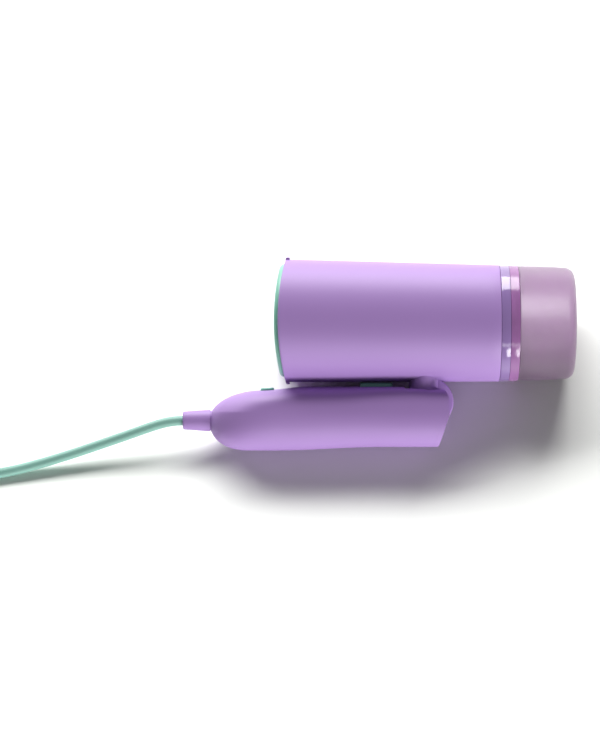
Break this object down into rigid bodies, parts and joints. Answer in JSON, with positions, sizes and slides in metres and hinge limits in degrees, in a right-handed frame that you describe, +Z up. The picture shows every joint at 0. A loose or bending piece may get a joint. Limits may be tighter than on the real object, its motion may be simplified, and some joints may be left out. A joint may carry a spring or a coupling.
{
  "type": "garment steamer",
  "caption": "Foldable hand-held garment steamer lying folded on its side: tapered tube head with vented face, tinted water tank behind, folding handle with trigger and button, mains cord.",
  "frame": {"origin": "on the surface that the steamer lies on, under the middle of its box without the cord", "axes": "+X along the head from the vented face to the tank, +Z up, +Y from the folded handle towards the head"},
  "size_m": [0.4501, 0.1594, 0.0736],
  "materials": {
    "lavender_plastic": "satin moulded ABS",
    "mint_plastic": "satin moulded ABS",
    "gloss_band": "high-gloss moulded ABS",
    "collar_tint": "tinted translucent polycarbonate",
    "smoke_tint": "smoky tinted translucent polycarbonate",
    "dark_plastic": "glass-filled nylon",
    "white_plastic": "moulded acetal",
    "steel": "bright zinc-plated steel",
    "cast_aluminium": "die-cast aluminium",
    "plated_brass": "nickel-plated brass",
    "black_rubber": "moulded rubber",
    "silicone": "translucent silicone rubber",
    "circuit_board": "glass-epoxy board with solder mask",
    "cord_jacket": "soft extruded PVC"
  },
  "bodies": {
    "handle": {"handle_left_shell": "lavender_plastic", "handle_right_shell": "lavender_plastic", "strain_relief": "lavender_plastic", "cord_clamp": "dark_plastic", "control_board": "circuit_board", "power_switch": "dark_plastic", "trigger_switch": "dark_plastic", "hinge_pin": "steel", "hinge_washer_left": "steel", "hinge_washer_right": "steel", "handle_screw_1": "steel", "handle_screw_2": "steel", "handle_screw_3": "steel", "cord_tube": "cord_jacket", "cord_coil": "cord_jacket", "cord_tail": "cord_jacket", "cord_tie": "black_rubber", "plug_body": "cord_jacket", "plug_pin_1": "plated_brass", "plug_pin_2": "plated_brass"},
    "head": {"head_shell": "lavender_plastic", "front_bezel": "mint_plastic", "steam_plate": "cast_aluminium", "plate_gasket": "silicone", "steam_chamber": "cast_aluminium", "heating_element": "steel", "thermostat": "steel", "thermal_fuse": "white_plastic", "heater_bulkhead": "dark_plastic", "pump": "dark_plastic", "pump_mount": "dark_plastic", "inlet_hose": "silicone", "outlet_hose": "silicone", "tank_socket": "dark_plastic", "socket_seal": "black_rubber", "trim_band": "gloss_band", "hinge_neck": "lavender_plastic", "neck_screw_1": "steel", "neck_screw_2": "steel", "neck_screw_3": "steel", "neck_screw_4": "steel"},
    "tank": {"tank_shell": "smoke_tint", "tank_collar": "collar_tint", "tank_gasket": "silicone", "filler_plug": "silicone", "tank_valve": "white_plastic", "suction_tube": "silicone"},
    "trigger": {"steam_trigger": "mint_plastic"},
    "button": {"power_button": "mint_plastic"}
  },
  "joints": [
    {"name": "fold_hinge", "type": "hinge", "parent": "handle", "child": "head", "pos_m": [0.0306, -0.02781, 0.02304], "axis": [0, 0.2817, -0.9595], "range_deg": [0, 105]},
    {"name": "tank_pull", "type": "slide", "parent": "head", "child": "tank", "axis": [1, 0, 0], "range_m": [0, 0.045]},
    {"name": "trigger_press", "type": "slide", "parent": "handle", "child": "trigger", "axis": [0, -0.9595, -0.2817], "range_m": [0, 0.0018], "stiffness_N_per_m": 800},
    {"name": "button_press", "type": "slide", "parent": "handle", "child": "button", "axis": [0, -0.9595, -0.2817], "range_m": [0, 0.0009], "stiffness_N_per_m": 1500}
  ]
}
